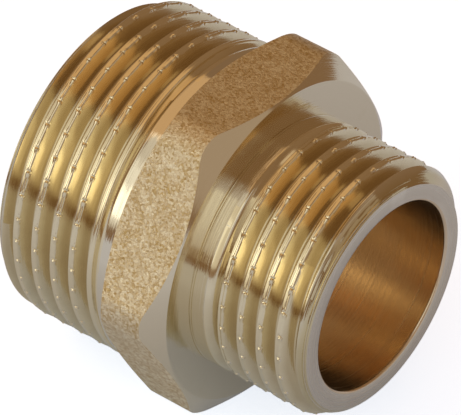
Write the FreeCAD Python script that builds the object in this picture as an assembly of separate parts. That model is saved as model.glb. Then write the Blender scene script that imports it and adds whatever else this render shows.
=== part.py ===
import FreeCAD, Part
import math
import os

# Reducing hex nipple, male 3/4 to male 1/2 parallel pipe thread: one piece of brass, forged and turned.
# Frame: origin on the pipe axis at the middle of the hex, +X towards the small end, +Z up.
# Two hex flats face straight up and straight down, so the nipple can lie on one.
# Everything is modelled along +Z first and turned onto +X at the end. All lengths are in millimetres.

# Hex collar
ACROSS_FLATS = 27.0
HEX_WIDTH = 6.0
HEX_CORNER_RADIUS = 2.8
FRONT_CHAMFER_ANGLE = 35.0      # on the small-thread side, measured from the hex face
BACK_CHAMFER_ANGLE = 30.0       # on the large-thread side
FRONT_FACE_RADIUS = 13.35       # where the front chamfer starts

# Threads: 55 degree pipe thread, 14 turns to the inch on both ends, right hand
PITCH = 25.4 / 14
FLANK_HALF_ANGLE = 27.5
THREAD_DEPTH = 0.640327 * PITCH
ROOT_FLAT = 0.25
LARGE_MAJOR_RADIUS = 26.441 / 2
SMALL_MAJOR_RADIUS = 20.955 / 2
LARGE_THREAD_START = 244.4      # where a groove crosses its end face, in degrees from +Y towards +Z
SMALL_THREAD_START = 29.5
RUNOUT_ANGLE = 30.0             # slope of the shallowing groove next to each neck

# Ends, counted along the axis from the middle of the hex
LARGE_END = -14.2
SMALL_END = 13.3
LARGE_NECK = 1.3                # plain length between the hex and the end of the groove
SMALL_NECK = 1.2
END_CHAMFER = 1.0               # 45 degree chamfer on the outside of each end

# Bore: plain through the small end and the hex, opened out behind the large end
BORE_RADIUS = 7.9
COUNTERBORE_RADIUS = 10.0
COUNTERBORE_LENGTH = 9.0
SHOULDER_ANGLE = 30.0           # counterbore shoulder, measured from the plane across the axis
EDGE_BREAK = 0.25               # small chamfer at both mouths of the bore

# Working allowances
CUTTER_OVERLAP = 0.4            # how far a cutting solid stands out of the surface it cuts
HELIX_OVERRUN = 1.1             # how far a groove runs on past its end face
SEAM_OFFSET = 110.0             # keeps the seams of the turned solids off the start of the groove

AXIS = FreeCAD.Vector(0, 0, 1)
ORIGIN = FreeCAD.Vector(0, 0, 0)


def slope(angle):
    return math.tan(math.radians(angle))


def turned(outline):
    """Solid of revolution about the axis, from (radius, height) points that start and end on the axis."""
    points = [FreeCAD.Vector(radius, 0, height) for radius, height in outline]
    face = Part.Face(Part.makePolygon(points + points[:1]))
    return face.revolve(ORIGIN, AXIS, 360)


def hex_collar():
    """Forged hex with rounded corners, chamfered by turning on both faces."""
    corner = ACROSS_FLATS / 2 / math.cos(math.radians(30))
    half = HEX_WIDTH / 2
    corners = []
    for angle in range(0, 360, 60):
        turn = math.radians(angle)
        corners.append(FreeCAD.Vector(corner * math.cos(turn), corner * math.sin(turn), -half))
    prism = Part.Face(Part.makePolygon(corners + corners[:1])).extrude(AXIS * HEX_WIDTH)
    upright = [edge for edge in prism.Edges if abs(edge.tangentAt(edge.FirstParameter).z) > 0.9]
    prism = prism.makeFillet(HEX_CORNER_RADIUS, upright)
    envelope = turned([
        (0, -half),
        (LARGE_MAJOR_RADIUS, -half),
        (corner, -half + (corner - LARGE_MAJOR_RADIUS) * slope(BACK_CHAMFER_ANGLE)),
        (corner, half - (corner - FRONT_FACE_RADIUS) * slope(FRONT_CHAMFER_ANGLE)),
        (FRONT_FACE_RADIUS, half),
        (0, half),
    ])
    return prism.common(envelope)


def groove(major_radius, low, high, angle_at_low):
    """Helical V groove of the thread, from height low to height high, as a solid to cut away."""
    root_radius = major_radius - THREAD_DEPTH
    mouth_radius = major_radius + CUTTER_OVERLAP
    half_root = ROOT_FLAT / 2
    half_mouth = half_root + (mouth_radius - root_radius) * slope(FLANK_HALF_ANGLE)
    section = [
        FreeCAD.Vector(root_radius, 0, -half_root),
        FreeCAD.Vector(mouth_radius, 0, -half_mouth),
        FreeCAD.Vector(mouth_radius, 0, half_mouth),
        FreeCAD.Vector(root_radius, 0, half_root),
    ]
    profile = Part.makePolygon(section + section[:1])
    helix = Part.Wire(Part.makeHelix(PITCH, high - low, root_radius).Edges)
    solid = helix.makePipeShell([profile], True, True)
    solid.rotate(ORIGIN, AXIS, angle_at_low)
    solid.translate(AXIS * low)
    return solid


def runout_guard(major_radius, neck, side):
    """Cone over the neck that the groove must not cut, so that the groove shallows out against it."""
    neck_end = side * (HEX_WIDTH / 2 + neck)
    guard_radius = major_radius + CUTTER_OVERLAP + 0.1
    tip_radius = major_radius - THREAD_DEPTH - CUTTER_OVERLAP
    high = neck_end - side * (guard_radius - major_radius) / slope(RUNOUT_ANGLE)
    tip = neck_end + side * (major_radius - tip_radius) / slope(RUNOUT_ANGLE)
    return turned([(0, 0), (guard_radius, 0), (guard_radius, high), (tip_radius, tip), (0, tip)])


def threaded_end(major_radius, end, neck, start_angle):
    """One male end, from the middle of the hex out to its chamfered end face."""
    side = math.copysign(1, end)
    stub = turned([
        (0, 0),
        (major_radius, 0),
        (major_radius, end - side * END_CHAMFER),
        (major_radius - END_CHAMFER, end),
        (0, end),
    ])
    stub.rotate(ORIGIN, AXIS, start_angle + SEAM_OFFSET)
    guard = runout_guard(major_radius, neck, side)
    guard.rotate(ORIGIN, AXIS, start_angle + SEAM_OFFSET + 30)
    inner = side * (HEX_WIDTH / 2 + 0.2)
    outer = end + side * HELIX_OVERRUN
    low, high = min(inner, outer), max(inner, outer)
    angle_at_low = start_angle + 360 * (low - end) / PITCH
    return stub.cut(groove(major_radius, low, high, angle_at_low).cut(guard))


def bore():
    """Through bore with its counterbore behind the large end, as a solid to cut away."""
    shoulder = LARGE_END + COUNTERBORE_LENGTH
    shoulder_length = (COUNTERBORE_RADIUS - BORE_RADIUS) * slope(SHOULDER_ANGLE)
    return turned([
        (0, LARGE_END - CUTTER_OVERLAP),
        (COUNTERBORE_RADIUS + EDGE_BREAK + CUTTER_OVERLAP, LARGE_END - CUTTER_OVERLAP),
        (COUNTERBORE_RADIUS, LARGE_END + EDGE_BREAK),
        (COUNTERBORE_RADIUS, shoulder),
        (BORE_RADIUS, shoulder + shoulder_length),
        (BORE_RADIUS, SMALL_END - EDGE_BREAK),
        (BORE_RADIUS + EDGE_BREAK + CUTTER_OVERLAP, SMALL_END + CUTTER_OVERLAP),
        (0, SMALL_END + CUTTER_OVERLAP),
    ])


def nipple():
    large = threaded_end(LARGE_MAJOR_RADIUS, LARGE_END, LARGE_NECK, LARGE_THREAD_START)
    small = threaded_end(SMALL_MAJOR_RADIUS, SMALL_END, SMALL_NECK, SMALL_THREAD_START)
    for name, stub, radius, end in (
        ("large", large, LARGE_MAJOR_RADIUS, LARGE_END),
        ("small", small, SMALL_MAJOR_RADIUS, SMALL_END),
    ):
        cut_away = math.pi * radius ** 2 * abs(end) - stub.Volume
        print(name, "end: mm3 cut away by groove and chamfer", round(cut_away, 1))
    solid = hex_collar().fuse([large, small]).cut(bore())
    return solid.removeSplitter()


def turn_onto_x(shape):
    """Swap the axes in a circle: the modelled Z becomes X, X becomes Y and Y becomes Z."""
    shape.rotate(ORIGIN, FreeCAD.Vector(1, 1, 1), 120)
    return shape


def main():
    os.makedirs("parts", exist_ok=True)
    body = turn_onto_x(nipple())
    if len(body.Solids) != 1 or not body.isValid():
        raise RuntimeError("the nipple did not come out as one valid solid")
    body = body.Solids[0]
    print("faces", len(body.Faces), "volume mm3", round(body.Volume, 1))
    body.exportStep(os.path.join("parts", "nipple_body.step"))


main()
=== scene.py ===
# %% [markdown]
# # A reducing hex nipple in brass
# The object is one piece of brass: a larger and a smaller male pipe thread with a wrench hex between them
# and a bore right through. A forge stamps the blank with its hex, and a lathe then turns, drills and
# threads it. This lesson builds that history: shells are turned, threaded and milled, then joined and
# drilled.

# %% Load the fixed frame
import math

import bmesh
import bpy
from mathutils import Matrix, Vector


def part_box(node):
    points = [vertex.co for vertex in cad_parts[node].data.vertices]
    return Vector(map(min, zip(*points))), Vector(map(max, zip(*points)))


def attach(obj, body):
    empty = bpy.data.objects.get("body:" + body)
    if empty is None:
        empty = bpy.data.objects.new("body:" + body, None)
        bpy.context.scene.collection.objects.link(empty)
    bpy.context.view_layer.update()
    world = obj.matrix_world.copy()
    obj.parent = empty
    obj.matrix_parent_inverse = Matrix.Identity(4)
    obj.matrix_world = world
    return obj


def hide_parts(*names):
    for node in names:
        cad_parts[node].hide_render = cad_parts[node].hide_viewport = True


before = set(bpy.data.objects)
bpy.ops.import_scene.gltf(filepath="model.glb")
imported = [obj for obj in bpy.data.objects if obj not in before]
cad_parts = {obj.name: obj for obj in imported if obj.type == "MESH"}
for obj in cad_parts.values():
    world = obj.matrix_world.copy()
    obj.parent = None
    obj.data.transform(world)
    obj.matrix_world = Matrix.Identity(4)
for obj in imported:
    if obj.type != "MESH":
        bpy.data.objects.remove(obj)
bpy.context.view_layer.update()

# %% [markdown]
# ## Sizes
# The ends and the hex come from the frame, so the piece always fills it. The rest are the sizes of the two
# standard pipe threads, 14 turns to the inch, and of the machining on them. All of them are millimetres.

# %% Sizes from the frame and from the pipe threads
MM = 0.001
body_low, body_high = (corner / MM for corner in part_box("nipple_body"))
LARGE_END = body_low.x
SMALL_END = body_high.x
HALF_FLATS = body_high.z

PITCH = 25.4 / 14
LARGE_RADIUS = 26.441 / 2
SMALL_RADIUS = 20.955 / 2
HEX_HALF_WIDTH = 3.0
BORE_RADIUS = 7.9
COUNTERBORE_RADIUS = 10.0
print("ends", round(LARGE_END, 2), round(SMALL_END, 2), "across flats", round(2 * HALF_FLATS, 2))

# %% [markdown]
# ## The bench
# Lathe work is easiest along Z, where Blender's circles lie across the axis. Everything is made there and
# turned onto the pipe's own axis, +X, in one step at the end, when the millimetres become metres too.

# %% Turn from the bench into the frame
ONTO_X = Matrix(((0, 0, 1, 0), (1, 0, 0, 0), (0, 1, 0, 0), (0, 0, 0, 1)))
AXIS = Vector((0, 0, 1))
WELD = 0.0005                   # points of a turned shell nearer than this are one point
print("bench Z becomes", tuple(ONTO_X @ AXIS))


def point(radius, height, angle=0.0):
    """A point at that radius and height, at an angle in degrees round the axis."""
    turn = math.radians(angle)
    return Vector((radius * math.cos(turn), radius * math.sin(turn), height))


def chain(bm, points):
    """Vertices joined one after another by edges, as the start of a spin."""
    verts = [bm.verts.new(place) for place in points]
    for first, second in zip(verts, verts[1:]):
        bm.edges.new((first, second))
    return verts


def turned(outline, segments):
    """A closed shell turned from (radius, height) points that start and end on the axis."""
    bm = bmesh.new()
    chain(bm, [point(radius, height) for radius, height in outline])
    bmesh.ops.spin(bm, geom=bm.verts[:] + bm.edges[:], cent=(0, 0, 0), axis=AXIS,
                   angle=2 * math.pi, steps=segments, use_merge=True)
    bmesh.ops.remove_doubles(bm, verts=bm.verts, dist=WELD)
    bmesh.ops.recalc_face_normals(bm, faces=bm.faces)
    return bm


def bench_object(bm, name):
    """Puts a bmesh into an object, and frees it."""
    mesh = bpy.data.meshes.new(name)
    bm.to_mesh(mesh)
    bm.free()
    piece = bpy.data.objects.new(name, mesh)
    bpy.context.scene.collection.objects.link(piece)
    return piece


def combine(piece, tool, operation):
    """One boolean of two closed shells: the piece takes the result, and the tool is put away."""
    cut = piece.modifiers.new(operation, "BOOLEAN")
    cut.operation = operation
    cut.solver = "MANIFOLD"
    cut.object = tool
    bpy.context.view_layer.update()
    shaped = piece.evaluated_get(bpy.context.evaluated_depsgraph_get())
    mesh = bpy.data.meshes.new_from_object(shaped)
    piece.modifiers.clear()
    piece.data = mesh
    bpy.data.objects.remove(tool)
    print(operation, piece.name, "->", len(mesh.polygons), "faces")
    if not mesh.polygons:
        raise RuntimeError(f"{operation} left nothing of {piece.name}")
    return piece


# %% [markdown]
# ## The thread
# A pipe thread is a 55 degree groove wound round the pipe. One pitch of it, from root to root, is drawn as
# a short chain of points and spun one turn while it climbs one pitch. Copies of that turn stack up exactly,
# so the shell has clean rings of faces that shade well. The crest isn't a plain edge: rolling pushes the
# metal up both flanks, so it ends in two rounded lips with a shallow seam between them.

# %% One pitch of the thread
HALF_SECTION = (                # (distance from the middle of the crest, depth under the crest)
    (0.000, 0.030),
    (0.070, 0.021),
    (0.140, 0.000),
    (0.185, 0.006),
    (0.220, 0.027),
    (0.262, 0.084),
    (0.300, 0.155),
    (0.345, 0.238),
    (0.770, 1.052),
    (0.840, 1.112),
    (PITCH / 2, 1.128),
)
FULL_DEPTH = HALF_SECTION[-1][1]


def section(radius):
    """One pitch from root to root, as (radius, height) points with the crest at height 0."""
    below = [(radius - depth, -along) for along, depth in reversed(HALF_SECTION)]
    above = [(radius - depth, along) for along, depth in HALF_SECTION[1:]]
    return below + above


print("points in one pitch", len(section(SMALL_RADIUS)))

# %% [markdown]
# ## Notches on the crests
# A toothed wheel has pressed a short notch across the crests about every two millimetres, so that sealing
# tape or hemp can't slip. The notches of all the turns stand in line. Each one is a dent with a burr pushed
# up on both sides of it. Cutting hundreds of notches one by one would be slow, so the dents are pressed
# into the vertices: rows are first slid along the helix to crowd round each notch, which leaves the
# thread's own shape alone, and then they are moved along the surface's normals.

# %% Notch sizes and the press
ROWS_PER_NOTCH = 10
CROWDING = 0.78                 # 0 spreads the rows evenly, 1 would stack them on the notch
NOTCH_DEPTH = 0.090
NOTCH_HALF_WIDTH = 0.060
BURR_HEIGHT = 0.090
BURR_OFFSET = 0.120
BURR_HALF_WIDTH = 0.120
SMALLER_BURR = 0.5              # the burr the wheel leaves behind it, as a share of the one in front
NOTCH_FROM = 0.00               # along the axis from the middle of the crest
NOTCH_TO = 0.24
NOTCH_START_FADE = 0.10
NOTCH_END_FADE = 0.06


def bell(distance, half_width):
    """1 in the middle and nearly 0 two half widths away."""
    return math.exp(-((distance / half_width) ** 2))


def fade(value, start, end):
    """0 before start, 1 after end, smooth between."""
    share = min(1.0, max(0.0, (value - start) / (end - start)))
    return share * share * (3 - 2 * share)


def notch_push(around, along):
    """How far the press moves the surface outwards, at a distance around and along from a notch's middle."""
    reach = fade(along, NOTCH_FROM - NOTCH_START_FADE, NOTCH_FROM + NOTCH_START_FADE)
    reach *= 1 - fade(along, NOTCH_TO, NOTCH_TO + NOTCH_END_FADE)
    burr = bell(around - BURR_OFFSET, BURR_HALF_WIDTH)
    burr += SMALLER_BURR * bell(around + BURR_OFFSET, BURR_HALF_WIDTH)
    return reach * (BURR_HEIGHT * burr - NOTCH_DEPTH * bell(around, NOTCH_HALF_WIDTH))


print("push at a notch's middle, in mm", round(notch_push(0, 0.15), 3))

# %% [markdown]
# ## Winding an end
# A real thread is cut or rolled along one long helix. Here one turn is spun with a climb, and its copies are
# stacked and welded. Next to the neck the die backs off, so the groove shallows out there, and at the free
# end the crests roll over into a chamfer. Both are limits on each vertex's distance from the axis.

# %% Wind one threaded end
WELD_TURNS = 0.004              # the spun turns meet within this


def one_turn(radius, notches, start_angle, crest_height):
    """One turn of thread, with its rows crowded round each notch. The first notch is at start_angle."""
    bm = bmesh.new()
    chain(bm, [point(r, crest_height + height, start_angle) for r, height in section(radius)])
    steps = notches * ROWS_PER_NOTCH
    bmesh.ops.spin(bm, geom=bm.verts[:] + bm.edges[:], cent=(0, 0, 0), axis=AXIS,
                   dvec=AXIS * (PITCH / steps), angle=2 * math.pi, steps=steps, use_merge=False)
    per_row = len(section(radius))
    for index, vert in enumerate(bm.verts):
        turns = (index // per_row) / ROWS_PER_NOTCH
        slide = -CROWDING * math.sin(2 * math.pi * turns) / (2 * math.pi) / notches
        vert.co = Matrix.Rotation(2 * math.pi * slide, 3, "Z") @ vert.co + AXIS * (PITCH * slide)
    return bm


def wound_thread(radius, notches, start_angle, crest_height, low, high):
    """An open threaded tube that reaches past low and high, made of stacked turns."""
    bm = one_turn(radius, notches, start_angle, crest_height)
    first = math.floor((low - crest_height) / PITCH) - 1
    last = math.ceil((high - crest_height) / PITCH) + 1
    turn = bm.verts[:] + bm.edges[:] + bm.faces[:]
    for step in range(first, last):
        copy = bmesh.ops.duplicate(bm, geom=turn)
        moved = [item for item in copy["geom"] if isinstance(item, bmesh.types.BMVert)]
        bmesh.ops.translate(bm, verts=moved, vec=AXIS * (PITCH * step))
    bmesh.ops.delete(bm, geom=turn, context="VERTS")
    bmesh.ops.remove_doubles(bm, verts=bm.verts, dist=WELD_TURNS)
    bmesh.ops.recalc_face_normals(bm, faces=bm.faces)
    return bm


RUNOUT_CURVE = 1.2              # how fast the groove deepens away from the neck
END_CHAMFER = 1.0
SHOULDER_ROUND = 0.42           # how softly the crests roll over into the end chamfer
CHAMFER_UNDER = 0.015           # the vertices stay this far inside the chamfer
RIM_PROUD = 0.09                # metal left near the rim, which the lathe tool then cuts
RIM_FADE = (0.36, 0.50)         # distances from the end face over which that metal fades out
PRESS_REACH = 0.6               # a notch only moves vertices this near to the middle of a crest


def smooth_min(first, second, softness):
    """The smaller of two numbers, with the corner between them rounded off."""
    share = max(softness - abs(first - second), 0) / softness
    return min(first, second) - share * share * softness / 4


def chamfer_radius(radius, end, height):
    """The end chamfer's radius at a height. Near the rim it stands proud, for the lathe tool to cut."""
    left = abs(end - height) if abs(height) < abs(end) else 0.0
    proud = RIM_PROUD * (1 - fade(left, *RIM_FADE))
    return radius - END_CHAMFER + left - CHAMFER_UNDER + proud


def shape_thread(bm, radius, end, notches, start_angle, crest_height, neck_end, notched):
    """Shallows the groove out towards the neck, chamfers the start and presses the notches."""
    bm.normal_update()
    side = math.copysign(1, neck_end)
    spacing = 360 / notches
    for vert in bm.verts:
        angle = math.degrees(math.atan2(vert.co.y, vert.co.x))
        crest = crest_height + PITCH * (angle - start_angle) / 360
        along = (vert.co.z - crest + PITCH / 2) % PITCH - PITCH / 2
        around = (angle - start_angle + spacing / 2) % spacing - spacing / 2
        push = 0.0
        if notched[0] < vert.co.z < notched[1] and abs(along) < PRESS_REACH:
            push = notch_push(math.radians(around) * radius, along)
        here = vert.co.xy.length
        beyond = max(0.0, side * (vert.co.z - neck_end))
        wanted = max(here, radius - RUNOUT_CURVE * beyond ** 2)
        wanted = smooth_min(wanted, chamfer_radius(radius, end, vert.co.z), SHOULDER_ROUND)
        vert.co.xy *= wanted / here
        vert.co += vert.normal * push


# %% [markdown]
# ## Turned ends
# The threaded tube is cut to length and capped, and a turned tool then leaves only what lies inside it: the
# 45 degree chamfer that starts the thread, and the flat end face with its broken edge. A boolean does this
# because the chamfer crosses the helix at a slant, where no ring of faces could follow it.

# %% Both threaded ends
INSIDE_COLLAR = 2.0             # how far from the middle of the hex each end starts, inside the collar
CLEAR = 0.6                     # how far a cutting tool stands clear of what it doesn't cut
SPARE = 0.5                     # how far the threaded tube runs past the end face before it is cut
TURNED_SEGMENTS = 240
RIM_STEPS = (                   # (radius over the rim, depth behind the end face) of the last tool marks
    (0.32, 0.320),
    (0.23, 0.275),
    (0.225, 0.250),
    (0.25, 0.215),
    (0.25, 0.185),
    (0.19, 0.135),
    (0.13, 0.130),
    (0.135, 0.095),
    (0.10, 0.045),
    (0.03, 0.010),
    (-0.03, 0.000),
)


def end_tool(radius, end):
    """What the lathe leaves of one end: everything inside this shell."""
    side = math.copysign(1, end)
    rim = radius - END_CHAMFER
    outline = [
        (0, side * INSIDE_COLLAR),
        (radius + CLEAR, side * INSIDE_COLLAR),
        (radius + CLEAR, end - side * (END_CHAMFER + CLEAR)),
    ]
    outline += [(rim + over, end - side * behind) for over, behind in RIM_STEPS]
    outline += [(0, end)]
    return bench_object(turned(outline, TURNED_SEGMENTS), "end_tool")


def threaded_end(name, radius, end, notches, start_angle, crest_height, neck_end, notched):
    """One male end as a closed shell. A crest passes crest_height at start_angle, on a notch."""
    side = math.copysign(1, end)
    low, high = sorted((side * INSIDE_COLLAR / 2, end + side * SPARE))
    bm = wound_thread(radius, notches, start_angle, crest_height, low, high)
    shape_thread(bm, radius, end, notches, start_angle, crest_height, neck_end, notched)
    for height, outward in ((low, -AXIS), (high, AXIS)):
        geom = bm.verts[:] + bm.edges[:] + bm.faces[:]
        bmesh.ops.bisect_plane(bm, geom=geom, plane_co=AXIS * height, plane_no=outward,
                               clear_outer=True, dist=0.0001)
    rims = [edge for edge in bm.edges if edge.is_boundary]
    bmesh.ops.edgeloop_fill(bm, edges=rims)
    bmesh.ops.recalc_face_normals(bm, faces=bm.faces)
    return combine(bench_object(bm, name), end_tool(radius, end), "INTERSECT")


LARGE_NECK_END = -3.8           # where the groove starts
LARGE_NOTCHES = 42              # in one turn
LARGE_START_ANGLE = 75.4        # degrees round the bench axis, where a crest passes the next height
LARGE_CREST = -12.43
LARGE_NOTCHED = (-12.9, -5.8)   # the wheel only reached this stretch
large = threaded_end("large_end", LARGE_RADIUS, LARGE_END, LARGE_NOTCHES, LARGE_START_ANGLE, LARGE_CREST,
                     LARGE_NECK_END, LARGE_NOTCHED)

SMALL_NECK_END = 4.3
SMALL_NOTCHES = 33
SMALL_START_ANGLE = 83.9
SMALL_CREST = 5.31
SMALL_NOTCHED = (4.9, 12.0)
small = threaded_end("small_end", SMALL_RADIUS, SMALL_END, SMALL_NOTCHES, SMALL_START_ANGLE, SMALL_CREST,
                     SMALL_NECK_END, SMALL_NOTCHED)

# %% [markdown]
# ## The hex collar
# The hex is forged, so its six upright corners are round and its flats are plain. A lathe has then
# chamfered both faces, which leaves the curved edge at the end of each flat. A six-sided circle is
# extruded, its corners are bevelled, and the prism is cut by a turned disc whose slopes are the two
# chamfers.

# %% Forge and chamfer the collar
HEX_CORNER_RADIUS = 2.8
FRONT_FACE_RADIUS = 13.35
FRONT_CHAMFER = math.radians(35)
BACK_CHAMFER = math.radians(30)
CORNER = HALF_FLATS / math.cos(math.radians(30))


def hex_prism():
    """The forged hex. Its bevel is set back to where a round of the corner's radius meets the flats."""
    bm = bmesh.new()
    bmesh.ops.create_circle(bm, cap_ends=True, radius=CORNER, segments=6)
    bmesh.ops.rotate(bm, verts=bm.verts, matrix=Matrix.Rotation(math.radians(30), 3, "Z"))
    bmesh.ops.translate(bm, verts=bm.verts, vec=-AXIS * HEX_HALF_WIDTH)
    lifted = bmesh.ops.extrude_face_region(bm, geom=bm.faces[:])
    top = [item for item in lifted["geom"] if isinstance(item, bmesh.types.BMVert)]
    bmesh.ops.translate(bm, verts=top, vec=AXIS * 2 * HEX_HALF_WIDTH)
    upright = [edge for edge in bm.edges if abs(edge.verts[0].co.z - edge.verts[1].co.z) > HEX_HALF_WIDTH]
    setback = HEX_CORNER_RADIUS * math.tan(math.radians(30))
    bmesh.ops.bevel(bm, geom=upright, affect="EDGES", offset=setback, offset_type="OFFSET", segments=14,
                    profile=0.5, material=-1)
    bmesh.ops.recalc_face_normals(bm, faces=bm.faces)
    return bm


def chamfer_disc():
    """What the lathe leaves of the hex: a disc with a chamfer on each side."""
    outline = [
        (0, -HEX_HALF_WIDTH),
        (LARGE_RADIUS, -HEX_HALF_WIDTH),
        (CORNER + CLEAR, -HEX_HALF_WIDTH + (CORNER + CLEAR - LARGE_RADIUS) * math.tan(BACK_CHAMFER)),
        (CORNER + CLEAR, HEX_HALF_WIDTH - (CORNER + CLEAR - FRONT_FACE_RADIUS) * math.tan(FRONT_CHAMFER)),
        (FRONT_FACE_RADIUS, HEX_HALF_WIDTH),
        (0, HEX_HALF_WIDTH),
    ]
    return bench_object(turned(outline, TURNED_SEGMENTS), "chamfer_disc")


collar = combine(bench_object(hex_prism(), "hex_collar"), chamfer_disc(), "INTERSECT")

# %% [markdown]
# ## Lines where the tool stopped
# A parting tool leaves a dark line in the corner between the small neck and the hex, and a finer one where
# the neck ends and the thread begins. Each is a thin ring with a V section, spun and taken away. A dark
# line in the material would look the same from afar, but it would catch no light and wouldn't be in the
# mesh.

# %% A fine ring groove
LINE_HEIGHT = 4.42
LINE_SIZE = 0.05                # both how deep it is and how far its tool stands out
CORNER_LINE_HEIGHT = HEX_HALF_WIDTH + 0.10
CORNER_LINE_DEPTH = 0.10
CORNER_LINE_WIDTH = 0.09


def score(piece, radius, height, depth, width):
    """Cuts a fine ring groove, as a tool leaves where it stops."""
    bm = bmesh.new()
    rim = chain(bm, [
        point(radius + width, height - width),
        point(radius - depth, height),
        point(radius + width, height + width),
    ])
    bm.edges.new((rim[-1], rim[0]))
    bmesh.ops.spin(bm, geom=bm.verts[:] + bm.edges[:], cent=(0, 0, 0), axis=AXIS,
                   angle=2 * math.pi, steps=TURNED_SEGMENTS, use_merge=True)
    bmesh.ops.remove_doubles(bm, verts=bm.verts, dist=WELD)
    bmesh.ops.recalc_face_normals(bm, faces=bm.faces)
    return combine(piece, bench_object(bm, "score"), "DIFFERENCE")


small = score(small, SMALL_RADIUS, LINE_HEIGHT, LINE_SIZE, LINE_SIZE)

# %% [markdown]
# ## The bore
# The water way is drilled through from the small end, and opened out behind the large end, where the
# drill's point leaves a sloping shoulder. The tool is a turned shell with flared ends, which break the
# mouths' edges. One boolean with a closed shell cuts all of that at once, and leaves no face inside the
# joined metal.

# %% Join the ends and drill the bore
COUNTERBORE_LENGTH = 9.0
SHOULDER = math.radians(30)
MOUTH_ROUND = 0.22


def bore_tool():
    """All the space that the drills take away, from one mouth to the other."""
    shoulder = LARGE_END + COUNTERBORE_LENGTH
    outline = [
        (0, LARGE_END - CLEAR),
        (COUNTERBORE_RADIUS + MOUTH_ROUND + CLEAR, LARGE_END - CLEAR),
        (COUNTERBORE_RADIUS, LARGE_END + MOUTH_ROUND),
        (COUNTERBORE_RADIUS, shoulder),
        (BORE_RADIUS, shoulder + (COUNTERBORE_RADIUS - BORE_RADIUS) * math.tan(SHOULDER)),
        (BORE_RADIUS, SMALL_END - MOUTH_ROUND),
        (BORE_RADIUS + MOUTH_ROUND * 0.30, SMALL_END - MOUTH_ROUND * 0.30),
        (BORE_RADIUS + MOUTH_ROUND * 2.2, SMALL_END + MOUTH_ROUND * 0.6),
        (0, SMALL_END + CLEAR),
    ]
    return bench_object(turned(outline, TURNED_SEGMENTS), "bore_tool")


nipple = combine(collar, large, "UNION")
nipple = combine(nipple, small, "UNION")
nipple = score(nipple, SMALL_RADIUS, CORNER_LINE_HEIGHT, CORNER_LINE_DEPTH, CORNER_LINE_WIDTH)
nipple = combine(nipple, bore_tool(), "DIFFERENCE")
nipple.name = "brass_nipple"
nipple.data.name = "brass_nipple"

# %% [markdown]
# ## Colours and nodes
# Colours are picked as sRGB hex values, as on a paint card, and one function turns them to the linear values
# that shaders expect. One more function adds a node with its settings and links, and every material uses it.

# %% Colour and node helpers
def linear(hex_colour):
    """An sRGB hex colour as linear RGBA."""
    parts = [int(hex_colour[i:i + 2], 16) / 255 for i in (0, 2, 4)]
    return [part / 12.92 if part <= 0.04045 else ((part + 0.055) / 1.055) ** 2.4 for part in parts] + [1.0]


def add(tree, kind, links=(), **settings):
    """Adds a node. links are (input, output socket) pairs, and settings are inputs or properties by name."""
    node = tree.nodes.new("ShaderNode" + kind)
    for name, value in settings.items():
        if hasattr(node, name):
            setattr(node, name, value)
        else:
            node.inputs[name.replace("_", " ")].default_value = value
    for key, source in links:
        tree.links.new(source, node.inputs[key])
    return node


def new_material(name):
    """A material with an empty node tree."""
    material = bpy.data.materials.new(name)
    material.use_nodes = True
    material.node_tree.nodes.clear()
    return material


print("pale brass in linear RGB", [round(part, 3) for part in linear("F2E6C4")[:3]])

# %% [markdown]
# ## Turned brass
# The threads, necks and faces are bare brass straight from the lathe: a mirror with fine rings. The rings
# follow the tool, so the pattern has to run round the axis. Two numbers do that for every turned face: the
# place along the axis, which changes on cylinders, and the distance from the axis, which changes on flat
# faces. Noise on those two alone is rings. Real tool marks are a few hundredths of a millimetre apart, too
# fine to see from here, so the rings are drawn about four times coarser.

# %% Turned and faced brass
RING_SPACING_MM = 0.16          # real feed marks are nearer 0.04 mm
RING_WANDER = 0.05              # how much the rings change round the axis, per millimetre
STAIN_MM = 2.4                  # how far apart the stain patches lie, which also shift the edge of the painted root shade
STAIN_SHARE = 0.5               # how much the patches shift the edge of the painted root shade


def ring_pattern(tree, spacing_mm, wander):
    """Noise that changes along the axis and with the radius, and only slowly round the axis."""
    place = add(tree, "TexCoord")
    parts = add(tree, "SeparateXYZ", [(0, place.outputs["Object"])])
    across = add(tree, "CombineXYZ", [(1, parts.outputs[1]), (2, parts.outputs[2])])
    radius = add(tree, "VectorMath", [(0, across.outputs[0])], operation="LENGTH")
    slow = add(tree, "VectorMath", [(0, place.outputs["Object"])], operation="SCALE")
    slow.inputs["Scale"].default_value = wander / MM
    rings = add(tree, "CombineXYZ", [(0, parts.outputs[0]), (1, radius.outputs["Value"])])
    fast = add(tree, "VectorMath", [(0, rings.outputs[0])], operation="SCALE")
    fast.inputs["Scale"].default_value = 1 / (spacing_mm * MM)
    both = add(tree, "VectorMath", [(0, fast.outputs[0]), (1, slow.outputs[0])], operation="ADD")
    return add(tree, "TexNoise", [("Vector", both.outputs[0])], Scale=1.0, Detail=3.0, Roughness=0.6)


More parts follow.
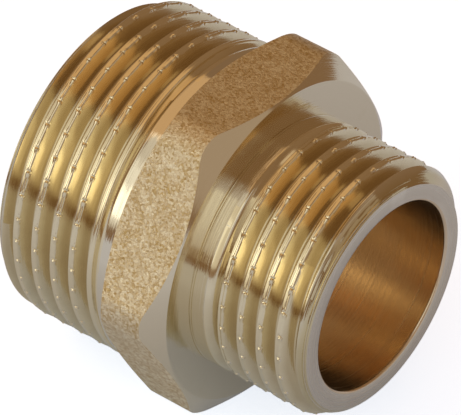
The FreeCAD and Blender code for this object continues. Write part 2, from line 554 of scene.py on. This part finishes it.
def turned_brass(name, light, groove, roughness, ring_height_mm, spacing_mm=RING_SPACING_MM):
    """Bare metal with rings. The roots of a thread are painted darker and browner with depth, as painted
    shade.
    """
    material = new_material(name)
    tree = material.node_tree
    place = add(tree, "TexCoord")
    rings = ring_pattern(tree, spacing_mm, RING_WANDER)
    stains = add(tree, "TexNoise", [("Vector", place.outputs["Object"])],
                 Scale=1 / (STAIN_MM * MM), Detail=4.0, Roughness=0.6)
    depth = add(tree, "Attribute", attribute_name="thread_depth")
    uneven = add(tree, "Math", [(0, stains.outputs["Fac"])], operation="MULTIPLY_ADD")
    uneven.inputs[1].default_value = STAIN_SHARE
    uneven.inputs[2].default_value = -STAIN_SHARE / 2
    # painted shade: deeper in the thread the colour turns to the darker root colour, patchy where the stains
    # shift its edge; in the bore only the stains and BORE_FILM tint it
    total = add(tree, "Math", [(0, depth.outputs["Fac"]), (1, uneven.outputs[0])], operation="ADD")
    shade_and_stain = add(tree, "MapRange", [("Value", total.outputs[0])], From_Min=0.06, From_Max=0.55)
    blend = add(tree, "Mix", [(0, shade_and_stain.outputs["Result"])], data_type="RGBA")
    blend.inputs[6].default_value = linear(light)
    blend.inputs[7].default_value = linear(groove)
    gloss = add(tree, "MapRange", [("Value", rings.outputs["Fac"])], From_Min=0.3, From_Max=0.7,
                To_Min=roughness * 0.7, To_Max=roughness * 1.4)
    bump = add(tree, "Bump", [("Height", rings.outputs["Fac"])],
               Strength=1.0, Distance=ring_height_mm * MM)
    shader = add(tree, "BsdfPrincipled", [
        ("Base Color", blend.outputs[2]),
        ("Roughness", gloss.outputs["Result"]),
        ("Normal", bump.outputs["Normal"]),
    ], Metallic=1.0)
    add(tree, "OutputMaterial", [("Surface", shader.outputs["BSDF"])])
    return material


# Rolled flanks are burnished by the die: smooth, clear streaks of the room, and an olive brown painted shade
# in the roots.
BRIGHT = turned_brass("thread_rolled_brass", "F2E6C4", "DACAA4", 0.14, 0.005)
# A sharp tool leaves a clear mirror that deep rings comb into fine bright and dark lines.
NECK = turned_brass("turned_brass", "ECE4CE", "D9CBA4", 0.055, 0.030, 0.17)
# Facing cuts slower towards the axis and tears a little, which gives a satin, silvery ring.
FACED = turned_brass("lathe_faced_brass", "EEE6D6", "DED6C6", 0.27, 0.020)
# The collar's turned faces mirror the neck beside them, only slightly blurred.
COLLAR = turned_brass("chamfered_collar_brass", "ECE1C6", "D9CBA4", 0.10, 0.010)
# A drilled wall is duller, and light that reaches it has met brass several times, so it glows orange.
DRILLED = turned_brass("drilled_brass", "F2E0C4", "E6D0AC", 0.20, 0.004)
print("turned finishes", [material.name for material in (BRIGHT, NECK, FACED, COLLAR, DRILLED)])

# %% [markdown]
# ## Sandblasted forged brass
# The hex keeps its forged skin, blasted with grit to take off the scale. Under a glass that is a field of
# tiny pits, each facing its own way, so the flats glitter in a dull, even tan instead of mirroring the
# room. The grit is a little under a fifth of a millimetre, which is just large enough to draw at its real
# size.

# %% Sandblasted brass
GRIT_MM = 0.17
GRAIN_SHARE = 0.6               # the bumps are finer than the pits
PIT_DEPTH_MM = 0.060
PATCH_MM = 1.4                  # the blast lands unevenly, in patches about this wide


def blasted_brass():
    """Pits that differ in colour and gloss, over a fine grain that scatters the light."""
    material = new_material("sandblasted_forged_brass")
    tree = material.node_tree
    place = add(tree, "TexCoord")
    pits = add(tree, "TexVoronoi", [("Vector", place.outputs["Object"])], Scale=1 / (GRIT_MM * MM))
    grain = add(tree, "TexNoise", [("Vector", place.outputs["Object"])],
                Scale=1 / (GRAIN_SHARE * GRIT_MM * MM), Detail=1.0, Roughness=0.5)
    patches = add(tree, "TexNoise", [("Vector", place.outputs["Object"])],
                  Scale=1 / (PATCH_MM * MM), Detail=3.0, Roughness=0.7)
    cell = add(tree, "SeparateColor", [(0, pits.outputs["Color"])])
    speckle = add(tree, "Math", [(0, cell.outputs[0]), (1, patches.outputs["Fac"])], operation="ADD")
    share = add(tree, "MapRange", [("Value", speckle.outputs[0])], From_Min=0.40, From_Max=1.65)
    tone = add(tree, "Mix", [(0, share.outputs["Result"])], data_type="RGBA")
    tone.inputs[6].default_value = linear("CDB078")
    tone.inputs[7].default_value = linear("FFF6DC")
    gloss = add(tree, "MapRange", [("Value", cell.outputs[1])], To_Min=0.60, To_Max=0.36)
    bump = add(tree, "Bump", [("Height", grain.outputs["Fac"])],
               Strength=1.0, Distance=PIT_DEPTH_MM * MM)
    shader = add(tree, "BsdfPrincipled", [
        ("Base Color", tone.outputs[2]),
        ("Roughness", gloss.outputs["Result"]),
        ("Normal", bump.outputs["Normal"]),
    ], Metallic=1.0)
    add(tree, "OutputMaterial", [("Surface", shader.outputs["BSDF"])])
    return material


BLASTED = blasted_brass()
print("grit in mm", GRIT_MM, "nodes in", BLASTED.name, len(BLASTED.node_tree.nodes))

# %% [markdown]
# ## Finish each face
# Where a face lies says how it was made, so the finish is chosen from each face's middle and normal: the
# bore looks inwards, the hex skin is the outermost upright surface, and flat faces look along the axis.
# Each vertex also remembers how deep it lies in the thread, because the roots get a painted shade.

# %% Give every face its finish
FINISHES = (BRIGHT, BLASTED, FACED, DRILLED, NECK, COLLAR)
ALONG_AXIS = 0.95               # a normal with more than this along the axis belongs to an end face
COLLAR_CREASE = 20              # degrees over which an edge stays sharp, on the collar
THREAD_CREASE = 42              # and everywhere else


def finish_of(face):
    """Which finish a face has, as its place in FINISHES."""
    middle = face.calc_center_median()
    radius = middle.xy.length
    outward = middle.xy.normalized().dot(face.normal.xy)
    if outward < 0 and radius < COUNTERBORE_RADIUS + 0.05 and abs(face.normal.z) < ALONG_AXIS:
        return FINISHES.index(DRILLED)
    if radius > LARGE_RADIUS + 0.15 and abs(face.normal.z) < 0.25:
        return FINISHES.index(BLASTED)
    if abs(middle.z) < HEX_HALF_WIDTH + 0.01:
        return FINISHES.index(COLLAR)
    if abs(face.normal.z) > ALONG_AXIS:
        return FINISHES.index(FACED)
    full, end = (SMALL_RADIUS, SMALL_END) if middle.z > 0 else (LARGE_RADIUS, LARGE_END)
    behind = abs(end - middle.z)
    if behind < END_CHAMFER and radius > full - END_CHAMFER + behind - 0.12:
        return FINISHES.index(NECK)
    if (LARGE_NECK_END < middle.z < SMALL_NECK_END) and radius > full - 0.25:
        return FINISHES.index(NECK)
    return FINISHES.index(BRIGHT)


BORE_FILM = 0.3                 # the bore is stained a little, all the way through


def thread_depth(place):
    """How deep a point lies in the thread, from 0 at the crest to 1 at the root. The bore has one value."""
    full = SMALL_RADIUS if place.z > 0 else LARGE_RADIUS
    if place.xy.length < COUNTERBORE_RADIUS and place.z < SMALL_NECK_END:
        return BORE_FILM
    if place.xy.length < BORE_RADIUS + MOUTH_ROUND:
        return BORE_FILM
    if abs(place.z) < HEX_HALF_WIDTH:
        return 0.0
    return min(1.0, max(0.0, (full - place.xy.length) / FULL_DEPTH))


nipple.data.materials.clear()
for material in FINISHES:
    nipple.data.materials.append(material)
bm = bmesh.new()
bm.from_mesh(nipple.data)
bm.normal_update()
# the depth drives the painted shade in the thread roots
depths = bm.verts.layers.float.new("thread_depth")
for vert in bm.verts:
    vert[depths] = thread_depth(vert.co)
for face in bm.faces:
    face.smooth = True
    face.material_index = finish_of(face)
for edge in bm.edges:
    middle = (edge.verts[0].co + edge.verts[1].co) / 2
    limit = COLLAR_CREASE if abs(middle.z) < HEX_HALF_WIDTH + 0.01 else THREAD_CREASE
    edge.smooth = edge.calc_face_angle(0) < math.radians(limit)
bmesh.ops.transform(bm, verts=bm.verts, matrix=Matrix.Scale(MM, 4) @ ONTO_X)
bmesh.ops.recalc_face_normals(bm, faces=bm.faces)
loose = [edge for edge in bm.edges if not edge.is_manifold]
print("edges that aren't closed", len(loose), "volume mm3", round(bm.calc_volume() / MM ** 3, 1))
bm.to_mesh(nipple.data)
bm.free()
counts = [0] * len(FINISHES)
triangles = 0
for polygon in nipple.data.polygons:
    counts[polygon.material_index] += 1
    triangles += len(polygon.vertices) - 2
print("faces by finish", dict(zip([m.name for m in FINISHES], counts)), "triangles", triangles)

# %% [markdown]
# ## Even shading
# Smooth shading blends the normals of neighbouring faces, and would bend the light on a large flat next to a
# narrow strip. Weighting the normals by face area keeps the flats flat, and marked sharp edges stay sharp.

# %% Shade large faces flat
even = nipple.modifiers.new("even_shading", "WEIGHTED_NORMAL")
even.keep_sharp = True
print("modifiers on the piece", [modifier.type for modifier in nipple.modifiers])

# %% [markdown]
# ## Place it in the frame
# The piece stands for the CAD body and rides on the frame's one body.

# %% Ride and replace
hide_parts("nipple_body")
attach(nipple, "root")
print(nipple.name, "stands for nipple_body")

# %% [markdown]
# ## The studio
# Bright metal shows the room more than itself, so the room is most of the look. The piece lies on a pale
# floor. What the metal mirrors is a grey table, whose light is painted on as a glow with a painted shadow
# close under the piece, a tall soft window at the left front with a brighter middle, a cooler window and a
# weak fill on the right, and a warm ceiling with a small lamp at the back.
# The dim room shows in the gaps between them, and those gaps are what draw the dark bands along a cylinder.

# %% Floor and table
FLOOR = body_low.z * MM
FLOOR_DROP = 0.00002            # the floor and the table lie a hair under the flat, and not in one plane
TABLE_DROP = 0.00001


def plane(name, width, depth, matrix, material):
    """A flat sheet of the room."""
    bm = bmesh.new()
    bmesh.ops.create_grid(bm, x_segments=1, y_segments=1, size=0.5)
    bmesh.ops.scale(bm, vec=(width, depth, 1), verts=bm.verts)
    bmesh.ops.transform(bm, verts=bm.verts, matrix=matrix)
    sheet = bench_object(bm, name)
    sheet.data.materials.append(material)
    return sheet


def matt(name, hex_colour, glow_colour, glow):
    """A matt surface that also glows a little, so that its shadows stay light."""
    material = new_material(name)
    tree = material.node_tree
    shader = add(tree, "BsdfPrincipled", Base_Color=linear(hex_colour), Roughness=0.9)
    shader.inputs["Specular IOR Level"].default_value = 0.0
    shader.inputs["Emission Color"].default_value = linear(glow_colour)
    shader.inputs["Emission Strength"].default_value = glow
    add(tree, "OutputMaterial", [("Surface", shader.outputs["BSDF"])])
    return material


def shaded_table():
    """A grey table seen only in the metal. Its light is painted on as a glow, with a painted shadow close
    under the object.
    """
    material = matt("grey_table", "CDD6E6", "CCD6EA", 0.0)
    tree = material.node_tree
    shader = next(node for node in tree.nodes if node.type == "BSDF_PRINCIPLED")
    place = add(tree, "TexCoord")
    away = add(tree, "VectorMath", [(0, place.outputs["Object"])], operation="LENGTH")
    # painted shadow: the table's glow, which stands in for the light on it, is weaker close under the object
    painted_shadow = add(tree, "MapRange", [("Value", away.outputs["Value"])],
                   From_Min=12 * MM, From_Max=55 * MM, To_Min=0.12, To_Max=0.40)
    tree.links.new(painted_shadow.outputs["Result"], shader.inputs["Emission Strength"])
    return material


floor = plane("floor", 6, 6, Matrix.Translation((0, 0, FLOOR - FLOOR_DROP)),
              matt("pale_floor", "FFFFFF", "E8F2FF", 0.80))
floor.visible_glossy = False
table = plane("table", 0.5, 0.36, Matrix.Translation((0.05, 0.03, FLOOR - TABLE_DROP)),
              shaded_table())
table.visible_camera = False
table.visible_diffuse = False
table.visible_shadow = False
print("floor at", round(FLOOR / MM, 2), "mm")

# %% Lights
def toward(azimuth, elevation):
    """Unit vector from the object, at an azimuth counted from -Y towards +X."""
    a, e = math.radians(azimuth), math.radians(elevation)
    return Vector((math.sin(a) * math.cos(e), -math.cos(a) * math.cos(e), math.sin(e)))


def soft_light(name, azimuth, elevation, distance, width, height, radiance, hex_colour):
    """A rectangular area light that faces the object. Blender spreads its watts over 4 times its area."""
    lamp = bpy.data.lights.new(name, "AREA")
    lamp.shape = "RECTANGLE"
    lamp.size = width
    lamp.size_y = height
    lamp.energy = radiance * 4 * width * height
    lamp.color = linear(hex_colour)[:3]
    holder = bpy.data.objects.new(name, lamp)
    direction = toward(azimuth, elevation)
    holder.location = direction * distance
    holder.rotation_euler = direction.to_track_quat("Z", "Y").to_euler()
    bpy.context.scene.collection.objects.link(holder)
    return holder


# name, azimuth and elevation in degrees, distance, width and height in metres, radiance, colour
soft_light("window", -12, 34, 0.9, 1.45, 1.12, 0.36, "F6FBF2")
soft_light("window_middle", -28, 24, 0.88, 0.70, 0.58, 0.24, "FBFFF6")
soft_light("window_core", -34, 17, 0.85, 0.32, 0.26, 0.66, "FFFCEC")
soft_light("side_window", 42, 33, 0.85, 0.52, 0.84, 0.35, "D8EAFF")
soft_light("side_fill", 100, 25, 0.8, 0.70, 0.60, 0.14, "F6F8F0")
soft_light("ceiling", -102, 54, 0.8, 0.72, 0.78, 0.30, "FFD298")
soft_light("ceiling_lamp", 180, 68, 0.78, 0.16, 0.26, 0.35, "FFEFD6")
print("lights", len(bpy.data.lights))

# %% [markdown]
# ## The room
# Between the lights the metal sees a dim, warm room. The background behind the floor is plain white, so the
# two are told apart by whether a ray comes straight from the lens.

# %% Room
world = bpy.data.worlds.new("room")
bpy.context.scene.world = world
world.use_nodes = True
world.node_tree.nodes.clear()
path = add(world.node_tree, "LightPath")
dim = add(world.node_tree, "Background", Color=linear("FFCD9D"), Strength=0.24)
pale = add(world.node_tree, "Background", Color=linear("FFFFFF"), Strength=1.0)
room = add(world.node_tree, "MixShader", [
    (0, path.outputs["Is Camera Ray"]),
    (1, dim.outputs["Background"]),
    (2, pale.outputs["Background"]),
])
add(world.node_tree, "OutputWorld", [("Surface", room.outputs["Shader"])])
bpy.context.scene.view_settings.view_transform = "Standard"
print("room", world.name)

# %% [markdown]
# ## The camera
# A long lens looks from well above and from the small end's side, tipped a little, so that both threads, the
# hex and the open bore all show.

# %% Camera
VIEW_AZIMUTH = 36.69
VIEW_ELEVATION = 38.67
VIEW_ROLL = 2.52
VIEW_DISTANCE = 433.9 * MM
AIM = Vector((-1.40, -0.06, 0.99)) * MM
SENSOR_MM = 36.0
LENS_MM = 442.3

camera_data = bpy.data.cameras.new("camera")
camera_data.sensor_width = SENSOR_MM
camera_data.lens = LENS_MM
camera_data.clip_start = 0.01
camera = bpy.data.objects.new("camera", camera_data)
camera.location = AIM + toward(VIEW_AZIMUTH, VIEW_ELEVATION) * VIEW_DISTANCE
looking = toward(VIEW_AZIMUTH, VIEW_ELEVATION).to_track_quat("Z", "Y").to_matrix()
camera.rotation_euler = (looking @ Matrix.Rotation(math.radians(VIEW_ROLL), 3, "Z")).to_euler()
bpy.context.scene.collection.objects.link(camera)
bpy.context.scene.camera = camera
print("camera", round(VIEW_DISTANCE / MM, 1), "mm away, lens", LENS_MM)
